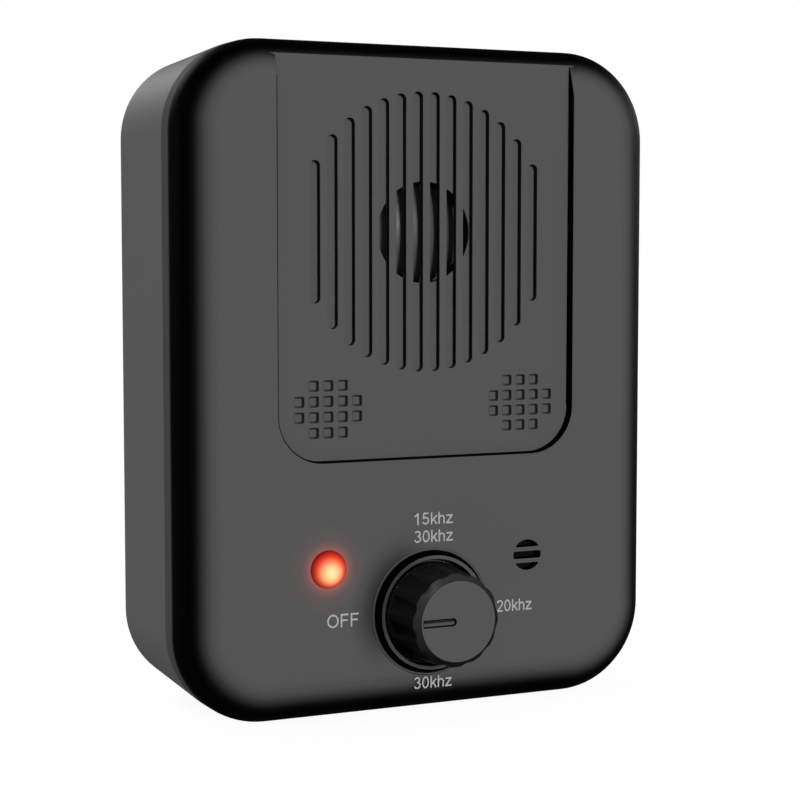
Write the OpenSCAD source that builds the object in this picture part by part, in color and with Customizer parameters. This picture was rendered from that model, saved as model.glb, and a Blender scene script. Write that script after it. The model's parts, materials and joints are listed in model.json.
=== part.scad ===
// Ultrasonic animal repeller with a mode dial, a status lamp and a listening microphone.
// The frame: +Z is up, the front faces -Y, and the origin is the middle of the flat base, halfway along
// the depth. Most parts are placed by their depth behind the front face.

/* [Case] */
// Width of the case
case_w = 101; // [96:0.5:110]
// Height of the case
case_h = 130; // [128:0.5:140]
// Depth of the case, front face to back face
case_d = 42; // [41:0.5:50]
// Radius of the case's four corners, seen from the front
corner_r = 17.7; // [15:0.1:20]
// Wall thickness of both shells
wall = 2.4; // [2.2:0.1:2.6]
// How far the front rounding reaches in from the sides
round_in = 10; // [8:0.5:11]
// How deep the front rounding is
round_deep = 6.5; // [5.5:0.5:7]
// Depth of the joint between the front cover and the rear housing
parting = 11.3; // [11:0.1:11.5]
// How much narrower each side of the housing is at the back
draft = 1.25; // [0:0.05:1.5]
// Radius of the edge around the back face
back_r = 2; // [1:0.1:3]

/* [Speaker panel] */
// Half the width of the sunken panel
panel_half = 31.5; // [30:0.5:33]
// Height of the panel's lower edge
panel_z = 50.2; // [49:0.1:52]
// Radius of the panel's lower corners
panel_r = 9; // [6:0.5:12]
// How far the panel lies below the front face
panel_deep = 1.8; // [1:0.1:2]
// Height of the speaker's centre
speaker_z = 93.8; // [90:0.1:95]
// Radius of the round field of grooves
grille_r = 27; // [24:0.5:28]
// Number of grooves
groove_n = 14; // [10:1:14]
// Distance from groove to groove
groove_pitch = 3.6; // [3.4:0.05:3.7]
// Width of a groove
groove_w = 2; // [1.2:0.1:2.2]
// Depth of a groove
groove_deep = 1.3; // [0.8:0.1:1.4]
// Radius of the sound opening behind the middle grooves
sound_r = 9.8; // [8:0.1:10.2]
// Size of a square dimple
dimple = 2; // [1.5:0.1:2.4]
// Distance from dimple to dimple
dimple_pitch = 3; // [2.8:0.1:3.2]

/* [Dial] */
// Height of the knob's axis
dial_z = 19.9; // [19:0.1:21]
// Outer radius of the collar around the knob, at its foot
collar_r = 12.1; // [11.9:0.1:12.2]
// Outer radius of the thin flange around the collar's foot
flange_r = 12.5; // [12.4:0.1:13]
// How far the collar stands in front of the face
collar_h = 1.9; // [1.2:0.1:2.2]
// How far the knob's cap stands in front of the face
knob_h = 12.4; // [11.8:0.1:13]
// Radius of the knob's flat cap
cap_r = 7.85; // [7.5:0.05:8.2]
// Number of finger flutes around the knob
flute_n = 12; // [8:1:16]

/* [Lamp, microphone and charging port] */
// Distance of the lamp and of the microphone from the middle
side_x = 21.6; // [21:0.1:22]
// Height of the lamp and of the microphone
side_z = 29.6; // [29:0.1:30]
// Radius of the lamp's lens
lens_r = 3.6; // [3:0.1:3.7]
// Radius of the microphone opening
mic_r = 3.05; // [2.5:0.05:3.2]
// Height of the charging port's centre
port_z = 33.4; // [33.2:0.1:33.6]
// Depth of the charging port's centre behind the front face
port_deep = 17; // [16.9:0.1:17.1]

/* [Hidden] */

front_y = -case_d / 2;       // the front face's place in the frame
round_steps = 6;             // steps of the front rounding
skin = 0.01;                 // thickness of the plates that a hull joins
cut = 1;                     // how far a cutter runs past what it cuts

plate_d0 = 13.8;             // the board's front face
plate_d1 = 15.4;             // the board's back face
backing = 4.2;               // depth of the panel's back face
flange_d0 = 5;               // the speaker flange's front face
flange_d1 = 7.2;             // the speaker flange's back face
flange_w = 52;               // side of the speaker's square flange
flange_hole = 21.6;          // distance of its screw holes from its middle
flange_h = 0.25;             // thickness of the collar's flange
floor_deep = 0.6;            // depth of the floor that the knob stands over
well_r = 10.3;               // radius of the well that the knob stands in
shaft_r = 3;                 // radius of the switch's shaft
bore_gap = 0.05;             // running clearance of the shaft
hub_d0 = -10.6;              // front end of the shaft
hub_d1 = -4.2;               // back end of the knob's hub
post_x = 38;                 // distance of the case screws from the middle
post_z = 12;                 // their distance from the top and from the bottom
seat_d = 16;                 // depth of the face that their heads sit on
inner_d = case_d - 2.2;      // depth of the inside of the back wall
screw_r = 1.45;              // radius of their thread
board_post = [29, 10, 43];   // X, low Z and high Z of the board's posts
foot_half = 28;              // half the width of the flat foot under the rear housing
foot_d = 38.5;               // depth that the foot reaches back to
cell_r = 9.1;                // radius of the battery cell
cell_l = 65;                 // its length
cell_x = -33;                // the cell's flat end
cell_z = 60.5;               // height of its axis
cell_d = 28.6;               // depth of its axis
flap_in_x = 49.2;            // the port flap's inner face
flap_out_x = 51.15;          // its outer face
flap_half = 4;               // half its width
flap_z = [24.3, 28, 40.7];   // bottom of its anchor, hinge line, top of the flap
port_size = [9.2, 3.9];      // the opening's height and its width
pocket_x = 48.9;             // the floor of the pocket that the flap lies in
key_z = 98;                  // height of the keyhole's round part
key_r = 4;                   // radius of that part
key_slot_r = 2.1;            // half the width of the slot above it
key_rise = 8;                // how far the slot rises
dimple_x = 20.8;             // distance of each dimple field's middle column from the middle
dimple_z = 64.6;             // height of the top row of dimples
boss_r = 3;                  // radius of the posts that small screws go into
pilot_r = 1;                 // radius of those screws' threads
lead_end_d = plate_d1 + 3;   // depth at which a lead enters its connector

// ---------- placing ----------

// A flat outline in X and Z, made solid from depth d0 to depth d1
module slab(d0, d1) {
    translate([0, front_y + d1, 0]) rotate([90, 0, 0]) linear_extrude(d1 - d0) children();
}

// A round bar along the depth
module rod(x, z, r, d0, d1, fn = 48) {
    translate([x, front_y + d0, z]) rotate([-90, 0, 0]) cylinder(h = d1 - d0, r = r, $fn = fn);
}

// A turned piece: the outline's points are [radius, depth]
module turned(x, z, fn = 96) {
    translate([x, front_y, z]) rotate([-90, 0, 0]) rotate_extrude($fn = fn) children();
}

// A box from one corner to the other, with depths for its Y
module block(x0, x1, d0, d1, z0, z1) {
    translate([x0, front_y + d0, z0]) cube([x1 - x0, d1 - d0, z1 - z0]);
}

// The same thing on the right and, mirrored, on the left
module both_sides() {
    children();
    mirror([1, 0, 0]) children();
}

// ---------- outlines ----------

module rounded(w, z0, z1, r, fn = 32) {
    for (x = [-w / 2 + r, w / 2 - r], z = [z0 + r, z1 - r]) translate([x, z]) circle(r = r, $fn = fn);
    translate([-w / 2 + r, z0]) square([w - 2 * r, z1 - z0]);
    translate([-w / 2, z0 + r]) square([w, z1 - z0 - 2 * r]);
}

// The case's outline, drawn in by an inset
module case_outline(inset) {
    rounded(case_w - 2 * inset, inset, case_h - inset, corner_r - inset);
}

// A very thin plate of that outline, for hulls
module case_plate(depth, inset) {
    slab(depth, depth + skin) case_outline(inset);
}

// The front form: a round front edge and straight sides back to the parting
module front_form() {
    hull() {
        for (i = [1 : round_steps]) {
            a = 90 * i / round_steps;
            case_plate(round_deep * (1 - sin(a)), round_in * (1 - cos(a)));
        }
        slab(round_deep, parting) case_outline(0);
    }
}

// The hollow behind the front form, stepped in under its round edge
module front_hollow() {
    slab(5, parting + cut) case_outline(wall);
    slab(3.4, 5.1) case_outline(wall + 1);
    slab(wall, 3.5) case_outline(wall + 3);
}

// The rear form: tapering sides and a round back edge
module rear_form(d0, d1, inset, r) {
    hull() {
        case_plate(d0, inset);
        for (i = [0 : 4]) {
            a = 90 * i / 4;
            case_plate(d1 - skin - r * (1 - cos(a)), inset + draft + r * (1 - sin(a)));
        }
    }
}

// A flat outline with its outward corners rounded
module soft_corners(r) {
    offset(r = r, $fn = 16) offset(delta = -r) children();
}

// ---------- front cover ----------

module panel_outline(grow = 0) {
    rounded(2 * (panel_half + grow), panel_z - grow, 2 * case_h, panel_r + grow);
}

module grooves(deep) {
    for (i = [0 : groove_n - 1]) {
        x = (i - (groove_n - 1) / 2) * groove_pitch;
        reach = sqrt(grille_r * grille_r - x * x) - groove_w / 2;
        slab(0, deep) translate([x - groove_w / 2, speaker_z - reach]) square([groove_w, 2 * reach]);
        rod(x, speaker_z - reach, groove_w / 2, 0, deep);
        rod(x, speaker_z + reach, groove_w / 2, 0, deep);
    }
}

// Four rows of square dimples: three, five, five and three
module dimples() {
    for (row = [0 : 3], col = [-2 : 2]) {
        long_row = row == 1 || row == 2;
        if (long_row || abs(col) < 2) {
            translate([dimple_x + col * dimple_pitch, dimple_z - row * dimple_pitch])
                soft_corners(0.3) square(dimple, center = true);
        }
    }
}

// Three slits in a round field
module mic_slits() {
    slit = 1.4;
    step = 2.34;
    intersection() {
        circle(r = mic_r, $fn = 64);
        for (k = [-1 : 1]) translate([-mic_r - cut, k * step - slit / 2]) square([2 * (mic_r + cut), slit]);
    }
}

module front_cover() {
    color("#404143") difference() {
        union() {
            difference() {
                front_form();
                difference() {
                    front_hollow();
                    slab(0, backing) intersection() {
                        panel_outline(2.5);
                        translate([-case_w / 2, 0]) square([case_w, case_h]);
                    }
                }
            }
            collar();
            both_sides() {
                for (z = [post_z, case_h - post_z]) rod(post_x, z, 3.6, 1.5, parting);
                for (k = [1, 2]) rod(board_post[0], board_post[k], boss_r, 1.5, plate_d0);
                for (s = [-1, 1]) rod(flange_hole, speaker_z + s * flange_hole, boss_r, 2.2, flange_d0);
            }
            rod(-side_x, side_z, 5.6, 2, 5);
            rod(side_x, side_z, 6, 2, 7);
        }
        slab(-cut, panel_deep) panel_outline();
        grooves(panel_deep + groove_deep);
        rod(0, speaker_z, sound_r, panel_deep + groove_deep - skin, backing + cut);
        both_sides() slab(0, panel_deep + 0.6) dimples();
        rod(0, dial_z, well_r, -skin, floor_deep);
        rod(0, dial_z, 4.6, 0, parting);
        rod(-side_x, side_z, lens_r + 0.05, -cut, parting);
        rod(-side_x, side_z, 4.6, wall, parting);
        translate([side_x, 0, side_z]) slab(-cut, parting) mic_slits();
        rod(side_x, side_z, 4.75, wall, parting);
        both_sides() {
            for (z = [post_z, case_h - post_z]) rod(post_x, z, screw_r, 3.4, parting + cut);
            for (k = [1, 2]) rod(board_post[0], board_post[k], pilot_r, 4, plate_d0 + cut);
            for (s = [-1, 1]) rod(flange_hole, speaker_z + s * flange_hole, pilot_r, 2.6, flange_d0 + cut);
        }
        slab(parting - 0.8, parting + cut) seal_outline();
    }
}

// The ring around the knob, with a thin flange at its foot
module collar() {
    turned(0, dial_z) polygon([[well_r - 0.7, 2], [well_r - 0.7, 0], [well_r, 0], [well_r, -collar_h + 0.3],
        [well_r + 0.3, -collar_h], [11.1, -collar_h], [11.3, -collar_h + 0.15], [collar_r, -flange_h],
        [flange_r - 0.1, -flange_h], [flange_r, -flange_h + 0.1], [flange_r, 2]]);
}

module seal_outline() {
    difference() {
        case_outline(0.9);
        case_outline(1.7);
    }
}

module case_seal() {
    color("#202020") slab(parting - 0.8, parting) seal_outline();
}

// ---------- rear housing ----------

// A low foot brings the tapered underside level with the front cover's edge. The port is in the right wall.
module rear_housing() {
    post_top = case_h - post_z;
    color("#454648") difference() {
        union() {
            difference() {
                rear_form(parting, case_d, 0, back_r);
                translate([0, -skin, 0]) rear_form(parting - cut, inner_d, wall, 1);
            }
            both_sides() for (z = [post_z, post_top]) rod(post_x, z, 4.8, parting, inner_d + 0.5);
            block(-foot_half, foot_half, parting, foot_d, 0, wall);
            block(46.4, 48.6, port_deep - 4.9, port_deep + 5.4, 23, 43);
            slab(inner_d - 4.4, inner_d + 0.5) key_pocket(1.4);
        }
        both_sides() for (z = [post_z, post_top]) {
            rod(post_x, z, 1.7, parting - cut, seat_d + skin);
            rod(post_x, z, 3.3, seat_d, case_d + cut);
        }
        slab(inner_d - 3, inner_d) key_pocket(0);
        rod(0, key_z, key_r, inner_d - skin, case_d + cut);
        slab(inner_d - skin, case_d + cut) {
            translate([-key_slot_r, key_z]) square([2 * key_slot_r, key_rise]);
            translate([0, key_z + key_rise]) circle(r = key_slot_r, $fn = 48);
        }
        translate([0, 0, port_z]) along_x(46, pocket_x + skin) port_outline();
        along_x(pocket_x, case_w) flap_outline(0.4, flap_z[0], flap_z[2]);
        rivet(45, 50, 1.2);
    }
}

module key_pocket(grow) {
    half = key_r + 0.6 + grow;
    translate([-half, key_z - half]) square([2 * half, 2 * half + key_rise - key_r + key_slot_r]);
}

// A flat outline in Y (depth from the port) and Z, made solid from x0 to x1
module along_x(x0, x1) {
    translate([x0, front_y + port_deep, 0]) rotate([90, 0, 90]) linear_extrude(x1 - x0) children();
}

module port_outline() {
    r = port_size[1] / 2;
    for (s = [-1, 1]) translate([0, s * (port_size[0] / 2 - r)]) circle(r = r, $fn = 48);
    translate([-r, -port_size[0] / 2 + r]) square([2 * r, port_size[0] - 2 * r]);
}

// The flap's outline between two heights: round ends where it meets the anchor's bottom or the flap's top
module flap_outline(grow, z0, z1) {
    r = flap_half + grow;
    intersection() {
        union() {
            translate([0, flap_z[0] + flap_half]) circle(r = r, $fn = 64);
            translate([0, flap_z[2] - flap_half]) circle(r = r, $fn = 64);
            translate([-r, flap_z[0] + flap_half]) square([2 * r, flap_z[2] - flap_z[0] - 2 * flap_half]);
        }
        translate([-2 * r, z0 - grow]) square([4 * r, z1 - z0 + 2 * grow]);
    }
}

// The rubber flap over the port: a plate, a bung and a lip to pull it by
module port_flap() {
    color("#1c1c1d") difference() {
        union() {
            along_x(flap_in_x, flap_out_x) flap_outline(0, flap_z[1] + 0.1, flap_z[2]);
            along_x(47.5, flap_in_x + 0.1) translate([-1.2, 30.2]) square([2.4, 6.4]);
        }
        for (k = [0 : 2]) translate([flap_out_x, front_y + port_deep - 2.4, 37.4 - 1.1 * k])
            rotate([-90, 0, 0]) cylinder(h = 4.8, r = 0.3, $fn = 24);
    }
}

// The end of the flap that stays in the housing, with the rivet that holds it
module port_anchor() {
    color("#1c1c1d") {
        along_x(flap_in_x - 0.3, flap_out_x) flap_outline(0, flap_z[0], flap_z[1] - 0.1);
        rivet(45.6, 49.2, 1.1);
        rivet(45.2, 46.4, 1.9);
    }
}

// A round bar along X through the anchor, from x0 to x1
module rivet(x0, x1, r) {
    translate([x0, front_y + port_deep, flap_z[0] + 1.9]) rotate([0, 90, 0])
        cylinder(h = x1 - x0, r = r, $fn = 48);
}

// ---------- screws ----------

// A pan-head screw with a cross recess: its head sits on depth d and its thread runs forward
module screw(x, z, d, head_r, head_h, thread_r, length) {
    slot = head_r * 0.28;
    difference() {
        union() {
            rod(x, z, thread_r, d - length, d + skin);
            rod(x, z, head_r, d, d + head_h);
        }
        for (a = [0, 90]) translate([x, front_y + d + head_h * 0.45, z]) rotate([0, a, 0])
            translate([-head_r * 0.6, 0, -slot / 2]) cube([head_r * 1.2, head_h, slot]);
    }
}

module case_screws() {
    color("#8a8c90") both_sides() for (z = [post_z, case_h - post_z])
        screw(post_x, z, seat_d, 2.8, 2, screw_r, seat_d - 3.6);
}

module speaker_screws() {
    color("#8a8c90") both_sides() for (s = [-1, 1])
        screw(flange_hole, speaker_z + s * flange_hole, flange_d1, 2, 1.4, pilot_r, flange_d1 - 2.8);
}

module board_screws() {
    color("#8a8c90") both_sides() for (k = [1, 2])
        screw(board_post[0], board_post[k], plate_d1, 2, 1.4, pilot_r, plate_d1 - 6);
}

// ---------- speaker ----------

module speaker_gasket() {
    color("#2b2b2b") turned(0, speaker_z) translate([11, backing]) square([14, flange_d0 - backing]);
}

module speaker_frame() {
    ledge_d = 11.2;
    color("#2a2a2c") union() {
        difference() {
            translate([0, 0, speaker_z]) slab(flange_d0, flange_d1)
                rounded(flange_w, -flange_w / 2, flange_w / 2, 4);
            rod(0, speaker_z, 10.4, 0, 20, 96);
            both_sides() for (s = [-1, 1]) rod(flange_hole, speaker_z + s * flange_hole, 1.2, 0, 20);
        }
        turned(0, speaker_z) polygon([[17, flange_d1 - 0.1], [21, flange_d1 - 0.1], [20, 16], [13, 16],
            [13, ledge_d], [17, ledge_d]]);
    }
}

// The thin dome that sounds, with the rim that is glued behind the flange
module speaker_dome() {
    edge_r = 9.2;
    tip_d = 4;
    sag = 2;
    thick = 0.6;
    curve_r = (edge_r * edge_r + sag * sag) / (2 * sag);
    edge_a = asin(edge_r / curve_r);
    steps = 8;
    color("#6e7072") turned(0, speaker_z) polygon(concat(
        [for (i = [0 : steps]) curve_r * [sin(edge_a * i / steps), -cos(edge_a * i / steps)]
            + [0, curve_r + tip_d]],
        [[9.8, 6.4], [9.8, flange_d1], [16, flange_d1], [16, flange_d1 + thick], [9.2, flange_d1 + thick],
         [9.2, tip_d + sag + thick]],
        [for (i = [steps : -1 : 0]) let (r = curve_r - thick)
            [r * sin(edge_a * i / steps) * 0.98, curve_r + tip_d - r * cos(edge_a * i / steps)]]));
}

module dome_coupler() {
    color("#c9c6bd") rod(0, speaker_z, 1.5, 4.66, 10.7);
}

module piezo_disc() {
    color("#c9a24a") rod(0, speaker_z, 14, 10.7, 11.2, 96);
}

module piezo_ceramic() {
    color("#e4e1d6") rod(0, speaker_z, 10, 11.2, 11.6, 96);
}

module speaker_back_cap() {
    color("#2a2a2c") turned(0, speaker_z) polygon([[0, 18.5], [18.4, 18.5], [18.4, 16], [20, 16], [20, 20],
        [0, 20]]);
}

module speaker_terminals() {
    color("#c0a060") both_sides() block(4.6, 5.4, 20, 26, speaker_z - 10, speaker_z - 6);
}

// ---------- leads ----------

function unit(v) = v / norm(v);

// A smooth curve through the points
function bend(a, b, c, d, t) = 0.5 * (2 * b + (c - a) * t + (2 * a - 5 * b + 4 * c - d) * t * t
    + (3 * b - a - 3 * c + d) * t * t * t);
function smooth(p, n) = concat([for (i = [0 : len(p) - 2], k = [0 : n - 1])
    bend(p[max(i - 1, 0)], p[i], p[i + 1], p[min(i + 2, len(p) - 1)], k / n)], [p[len(p) - 1]]);

// A wire along a route of [x, depth, z] points
module lead(route, r = 0.6) {
    sides = 8;
    path = [for (p = smooth(route, 4)) [p[0], p[1] + front_y, p[2]]];
    last = len(path) - 1;
    rings = [for (i = [0 : last])
        let (t = unit(path[min(i + 1, last)] - path[max(i - 1, 0)]), a = unit(cross(t, [0.35, 0.9, 0.25])),
            b = cross(t, a))
        for (k = [0 : sides - 1]) path[i] + r * (cos(360 * k / sides) * a + sin(360 * k / sides) * b)];
    faces = concat(
        [[for (k = [0 : sides - 1]) k]],
        [for (i = [0 : last - 1], k = [0 : sides - 1]) let (n = (k + 1) % sides)
            [i * sides + k, (i + 1) * sides + k, (i + 1) * sides + n, i * sides + n]],
        [[for (k = [sides - 1 : -1 : 0]) last * sides + k]]);
    polyhedron(points = rings, faces = faces, convexity = 4);
}

module speaker_leads() {
    color("#a03028") lead([[-5, 26, 85.8], [-7, 26.5, 79], [-9, 23.5, 71], [-11, 18, 62], [-13, 17.2, 50],
        [-13, lead_end_d, 45.5]]);
    color("#303030") lead([[5, 26, 85.8], [3, 26.5, 79], [-3, 23.5, 71], [-8, 18, 62], [-11, 17.2, 50],
        [-11, lead_end_d, 45.5]]);
}

module battery_leads() {
    color("#a03028") lead([[35.2, 21, 58], [34, 19, 53], [26, 18.6, 49], [16, 18.4, 48.5], [12, 18.4, 47.6],
        [11, lead_end_d, 45.5]]);
    color("#303030") lead([[-35.2, 21, 58], [-34, 19, 52], [-24, 19.5, 48.6], [-6, 20.2, 48.6], [6, 19.2, 48],
        [9, lead_end_d, 45.5]]);
}

module microphone_leads() {
    color("#b8bac0") for (s = [-1, 1]) rod(side_x + 1.3 * s, side_z, 0.25, 8, plate_d1 + 0.6, 16);
}

module led_leads() {
    color("#b8bac0") for (s = [-1, 1]) rod(-side_x + 1.27 * s, side_z, 0.25, 10.4, plate_d1 + 0.6, 16);
}

// ---------- board ----------

module main_board() {
    color("#1f5a38") difference() {
        union() {
            block(-32, 32, plate_d0, plate_d1, 7, 46);
            block(31, 45, plate_d0, plate_d1, 24.5, 42);
        }
        both_sides() for (k = [1, 2]) rod(board_post[0], board_post[k], 1.2, 0, 20);
        for (s = [-1, 1]) {
            rod(side_x + 1.3 * s, side_z, 0.25, 0, 20, 16);
            rod(-side_x + 1.27 * s, side_z, 0.25, 0, 20, 16);
        }
        for (k = [-2 : 2]) rod(2.8 * k, dial_z - 6, 0.5, 0, 20, 24);
    }
}

module controller_chip() {
    legs = 8;
    color("#26272a") block(-7, 7, plate_d1 + 0.2, plate_d1 + 2, 26, 31);
    color("#b8bac0") for (i = [0 : legs - 1], s = [-1, 1]) let (x = (i - 3.5) * 1.7)
        block(x - 0.3, x + 0.3, plate_d1, plate_d1 + 0.9, s > 0 ? 31 : 24.6, s > 0 ? 32.4 : 26);
}

module driver_chips() {
    color("#26272a") for (x = [-24, -17.5]) block(x, x + 5, plate_d1, plate_d1 + 1.8, 33, 38.8);
    color("#b8bac0") for (x = [-24, -17.5]) block(x + 0.6, x + 4.4, plate_d1, plate_d1 + 0.6, 31.6, 33);
}

module boost_inductor() {
    color("#2e2c2a") turned(24, 15) translate([0, plate_d1])
        polygon([[0, 0], [4.5, 0], [4.5, 1.2], [3, 1.2], [3, 5.8], [4.5, 5.8], [4.5, 7], [0, 7]]);
}

module storage_capacitor() {
    color("#23355e") turned(-22, 17) translate([0, plate_d1])
        polygon([[0, 0], [4, 0], [4, 1], [3.7, 1.4], [4, 1.8], [4, 11.6], [3.6, 12], [0, 12]]);
}

// Resistors and small capacitors in two rows
module small_components() {
    color("#8d7a5a") for (i = [0 : 5], row = [0, 1])
        block(-10 + 3.4 * i, -8 + 3.4 * i, plate_d1, plate_d1 + 0.8, 35 + 2.4 * row, 36.2 + 2.4 * row);
}

module header(x) {
    difference() {
        block(x - 3, x + 3, plate_d1, plate_d1 + 6, 39.5, 45);
        block(x - 2.2, x + 2.2, plate_d1 + 1, plate_d1 + 5, 41, 46);
    }
    for (s = [-1, 1]) block(x + s - 0.25, x + s + 0.25, plate_d1 + 2.75, plate_d1 + 3.25, 40.9, 43.6);
}

module speaker_connector() {
    color("#e6e2d6") header(-12);
}

module battery_connector() {
    color("#e6e2d6") header(10);
}

// ---------- lamp and microphone ----------

// A light pipe with a domed front and a shoulder behind the cover
module led_lens() {
    rise = 1.9;
    steps = 8;
    color("#d83020") turned(-side_x, side_z, 64) polygon(concat(
        [for (i = [0 : steps]) [lens_r * sin(90 * i / steps), -rise * cos(90 * i / steps)]],
        [[lens_r, wall], [4.5, wall], [4.5, wall + 1], [lens_r, wall + 1], [lens_r, 5.2], [0, 5.2]]));
}

module led_emitter() {
    color("#e8e4e0") rod(-side_x, side_z, 2.5, 5.2, 9.4);
    color("#e8e4e0") rod(-side_x, side_z, 2.9, 9.4, 10.4);
}

module microphone_mesh() {
    color("#171717") rod(side_x, side_z, 4.7, wall, wall + 0.3);
}

module microphone_boot() {
    color("#1c1c1d") turned(side_x, side_z, 64) polygon([[2.2, wall + 0.3], [4.7, wall + 0.3], [4.7, 8.6],
        [3, 8.6], [3, 3.4], [2.2, 3.4]]);
}

module microphone_capsule() {
    color("#c8cacc") difference() {
        rod(side_x, side_z, 3, 3.4, 8);
        rod(side_x, side_z, 1, 3, 3.8);
    }
}

// ---------- rotary switch ----------

module switch_bushing() {
    color("#b9babd") difference() {
        union() {
            block(-8, 8, wall, wall + 1, dial_z - 8, dial_z + 8);
            rod(0, dial_z, 4.5, -3.4, wall + 0.5);
        }
        rod(0, dial_z, shaft_r + bore_gap, -5, 5);
    }
}

module switch_housing() {
    color("#2f5f8a") difference() {
        block(-8, 8, wall + 1, 11, dial_z - 8, dial_z + 8);
        rod(0, dial_z, 7, 0, 9.8);
    }
}

module switch_pins() {
    color("#c0a060") for (k = [-2 : 2]) rod(2.8 * k, dial_z - 6, 0.45, 11, plate_d1 + 1, 24);
}

module switch_washer() {
    color("#b9babd") difference() {
        rod(0, dial_z, 7, 0.1, floor_deep);
        rod(0, dial_z, 4.6, 0, 1);
    }
}

module switch_nut() {
    color("#b9babd") difference() {
        rod(0, dial_z, 6.35, -2.1, 0.1, 6);
        rod(0, dial_z, 4.5, -3, 1);
    }
}

// The switch's shaft, with a flat along the length that the knob holds
module d_profile(d0, d1, r) {
    flat = 2.3;
    difference() {
        rod(0, dial_z, r, d0, d1);
        block(-r - cut, r + cut, d0 - cut, d1 + cut, dial_z + flat, dial_z + r + cut);
    }
}

module switch_shaft() {
    color("#c8cacc") union() {
        d_profile(hub_d0, hub_d1, shaft_r);
        rod(0, dial_z, shaft_r, hub_d1, 9.4);
    }
}

module switch_rotor() {
    color("#c0a060") difference() {
        union() {
            rod(0, dial_z, 6.4, 5.4, 7.2);
            rod(0, dial_z, 4.2, 3.8, 5.5);
        }
        rod(0, dial_z, shaft_r, 0, 10);
    }
}

// ---------- knob ----------

module knob() {
    side_deep = -knob_h + 1.3;
    flute_r = 2.6;
    color("#3b3c3e") difference() {
        turned(0, dial_z, 120) polygon([[0, -0.2], [9.9, -0.2], [9.9, -1.1], [9.7, -1.3], [9.05, side_deep],
            [cap_r, -knob_h], [0, -knob_h]]);
        for (i = [0 : flute_n - 1]) {
            a = (i + 0.5) * 360 / flute_n;
            rod((8.7 + flute_r) * cos(a), dial_z + (8.7 + flute_r) * sin(a), flute_r, -knob_h - cut, -1.6);
        }
        rod(0, dial_z, 7.6, -4.2, 0);
        d_profile(hub_d0 - 0.1, hub_d1 + 0.1, shaft_r);
        turned(0, dial_z) translate([shaft_r - 0.1, -9]) square([0.6, 4]);
        slab(-knob_h - cut, -knob_h + 0.5) translate([0, dial_z]) pointer_outline();
    }
}

// The pointer groove, from near the cap's edge to its middle
module pointer_outline() {
    half = 0.65;
    inner_x = -1.2;
    translate([-cap_r + 0.55, -half]) square([cap_r - 0.55 + inner_x, 2 * half]);
    translate([inner_x, 0]) circle(r = half, $fn = 32);
}

// The split spring ring inside the knob's hub
module knob_clip() {
    color("#b9babd") difference() {
        turned(0, dial_z) translate([shaft_r, -9]) square([0.5, 4]);
        block(-1.2, 1.2, -10, -4, dial_z - 5, dial_z);
    }
}

// ---------- battery ----------

module battery_cell() {
    translate([cell_x, front_y + cell_d, cell_z]) rotate([0, 90, 0]) {
        color("#3a6ea5") cylinder(h = cell_l, r = cell_r, $fn = 96);
        color("#c8cacc") cylinder(h = cell_l + 1, r = 2.8, $fn = 48);
    }
}

module battery_holder() {
    color("#202022") difference() {
        block(-37.4, 37.4, 24, 38.8, cell_z - 10.8, cell_z + 10.8);
        block(-35.6, 35.6, 23, 37.8, cell_z - 9.4, cell_z + 9.4);
        block(-20, 20, 23, 31, cell_z - 11, cell_z + 11);
    }
}

module battery_tape() {
    color("#d8d4c8") block(-30, 30, 38.8, inner_d - skin, cell_z - 8, cell_z + 8);
}

// Two bent spring plates: one against each end of the cell
module battery_contacts() {
    color("#c8cacc") both_sides() {
        block(35.1, 35.6, 20.4, 36, cell_z - 4, cell_z + 4);
        translate([0, 0, cell_z - 3]) linear_extrude(6) translate([0, front_y]) polygon([[35.2, 35],
            [33.1, 29.6], [33.1, 27.6], [34.6, 25], [34.9, 25.4], [33.5, 27.8], [33.5, 29.4], [35.2, 34]]);
    }
}

// ---------- charging socket ----------

module charge_socket() {
    color("#b9babd") difference() {
        block(38.8, 46.2, plate_d1, plate_d1 + 3.2, port_z - 4.47, port_z + 4.47);
        block(39.6, 47, plate_d1 + 0.3, plate_d1 + 2.9, port_z - 4.1, port_z + 4.1);
    }
    color("#202022") block(39.5, 45.4, port_deep - 0.35, port_deep + 0.35, port_z - 3.3, port_z + 3.3);
}

front_cover();
rear_housing();
case_seal();
case_screws();
speaker_gasket();
speaker_frame();
speaker_dome();
dome_coupler();
piezo_disc();
piezo_ceramic();
speaker_back_cap();
speaker_terminals();
speaker_screws();
speaker_leads();
main_board();
board_screws();
controller_chip();
driver_chips();
boost_inductor();
storage_capacitor();
small_components();
speaker_connector();
battery_connector();
led_lens();
led_emitter();
led_leads();
microphone_mesh();
microphone_boot();
microphone_capsule();
microphone_leads();
switch_bushing();
switch_housing();
switch_pins();
switch_washer();
switch_nut();
switch_shaft();
switch_rotor();
knob();
knob_clip();
battery_cell();
battery_holder();
battery_tape();
battery_contacts();
battery_leads();
charge_socket();
port_anchor();
port_flap();
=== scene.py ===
import json
import math

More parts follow.
